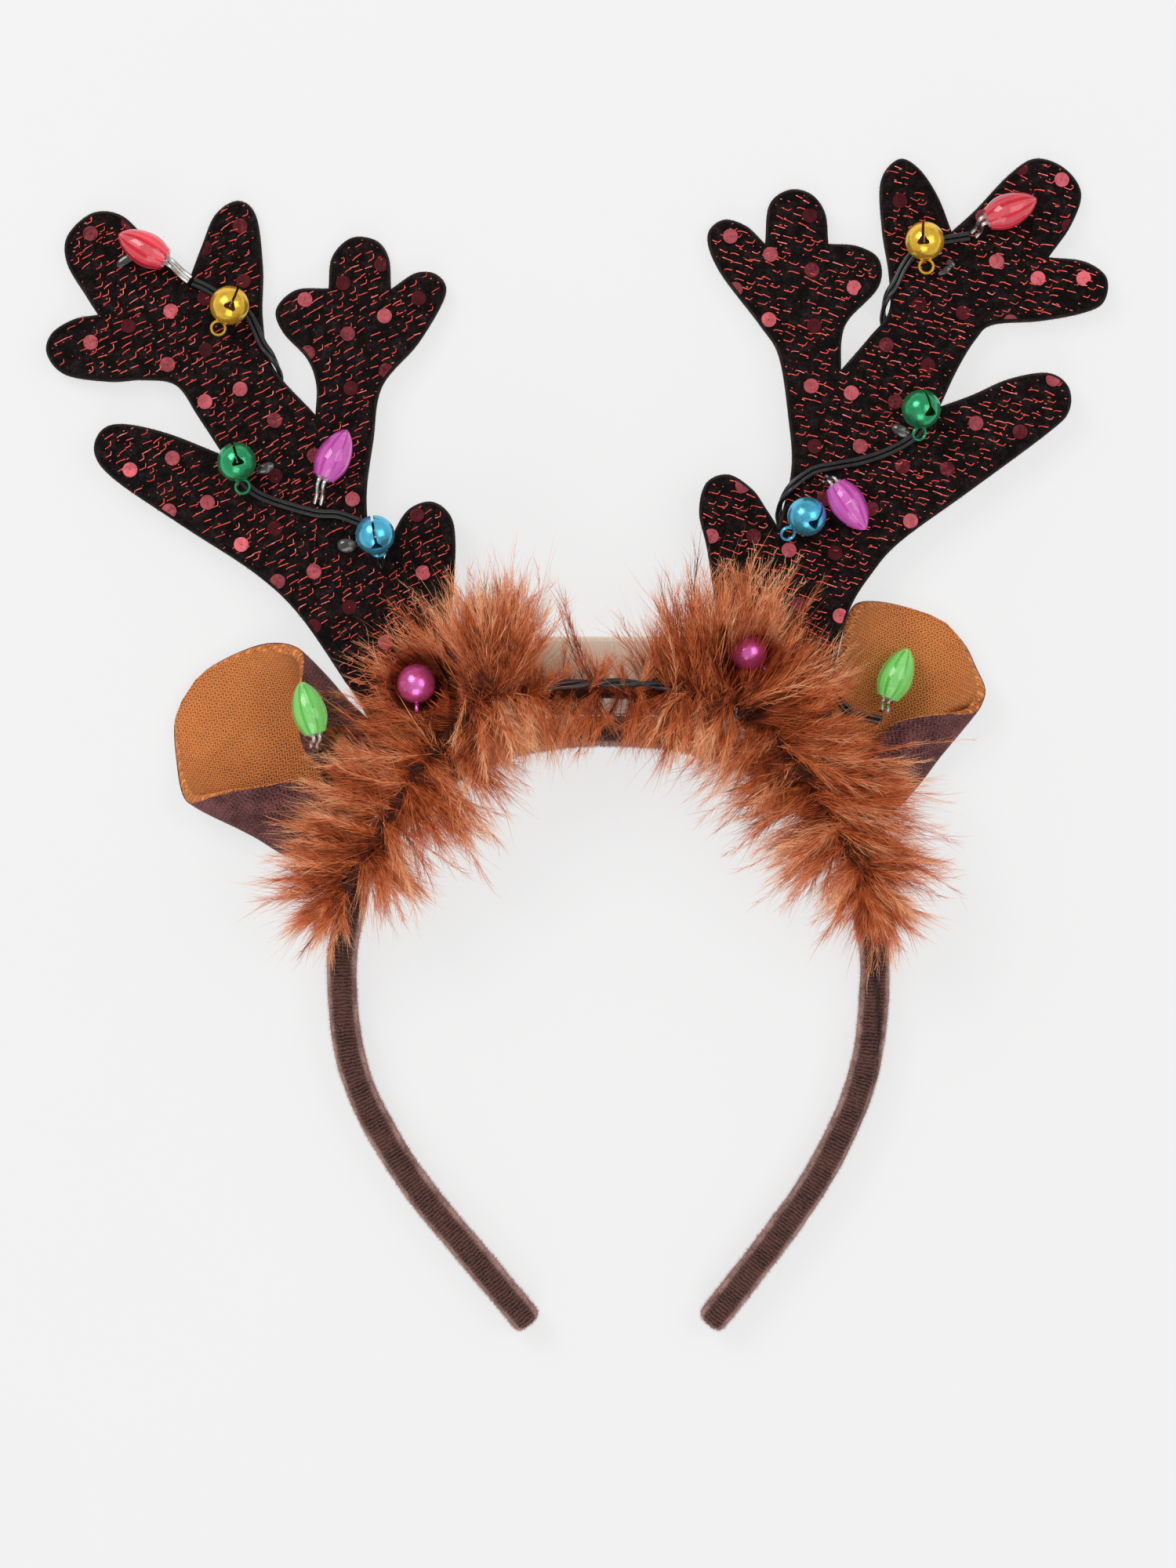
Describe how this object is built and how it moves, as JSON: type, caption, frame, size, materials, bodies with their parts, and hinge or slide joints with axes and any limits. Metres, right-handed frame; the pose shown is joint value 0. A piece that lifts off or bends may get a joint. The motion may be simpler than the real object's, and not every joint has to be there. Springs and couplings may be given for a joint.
{
  "type": "reindeer antler headband",
  "caption": "Costume headband with sequin-cloth antlers, felt-lined ears, a feather trim round the crown and small bells and lights on the antlers.",
  "frame": {"origin": "middle of the battery case's flat back face, on the table", "axes": "+X to the right of its front view, +Y from the crown to the antler tips, +Z out of its front"},
  "size_m": [0.2443, 0.2697, 0.0291],
  "materials": {
    "velvet": "brown pile",
    "case_plastic": "matte",
    "feather": "soft down",
    "felt": "dull",
    "sequin_cloth": "knit with metallic threads",
    "tan_twill": "woven",
    "gold_metal": "shiny lacquer",
    "green_metal": "shiny lacquer",
    "blue_metal": "shiny lacquer",
    "pink_metal": "shiny lacquer",
    "steel": "bright",
    "red_plastic": "translucent gloss",
    "magenta_plastic": "translucent gloss",
    "green_plastic": "translucent gloss",
    "clear_plastic": "clear gloss",
    "black_plastic": "gloss"
  },
  "bodies": {
    "root": {"headband": "velvet", "battery_case": "case_plastic", "feather_trim": "feather", "antler_left_felt": "felt", "antler_right_felt": "felt", "antler_left_cloth": "sequin_cloth", "antler_right_cloth": "sequin_cloth", "ear_left_velvet": "velvet", "ear_right_velvet": "velvet", "ear_left_lining": "tan_twill", "ear_right_lining": "tan_twill", "bell_left_gold": "gold_metal", "bell_left_green": "green_metal", "bell_left_blue": "blue_metal", "bell_left_pink": "pink_metal", "bell_right_gold": "gold_metal", "bell_right_green": "green_metal", "bell_right_blue": "blue_metal", "bell_right_pink": "pink_metal", "ball_left_gold": "steel", "ball_left_green": "steel", "ball_left_blue": "steel", "ball_left_pink": "steel", "ball_right_gold": "steel", "ball_right_green": "steel", "ball_right_blue": "steel", "ball_right_pink": "steel", "bulb_left_red": "red_plastic", "bulb_left_magenta": "magenta_plastic", "bulb_left_green": "green_plastic", "bulb_right_red": "red_plastic", "bulb_right_magenta": "magenta_plastic", "bulb_right_green": "green_plastic", "light_left_red": "clear_plastic", "light_left_magenta": "clear_plastic", "light_left_green": "clear_plastic", "light_right_red": "clear_plastic", "light_right_magenta": "clear_plastic", "light_right_green": "clear_plastic", "wire_left_top": "black_plastic", "wire_left_middle": "black_plastic", "wire_left_low": "black_plastic", "wire_left_ear": "black_plastic", "wire_right_top": "black_plastic", "wire_right_middle": "black_plastic", "wire_right_low": "black_plastic", "wire_right_ear": "black_plastic", "wire_crown": "black_plastic"}
  },
  "joints": []
}
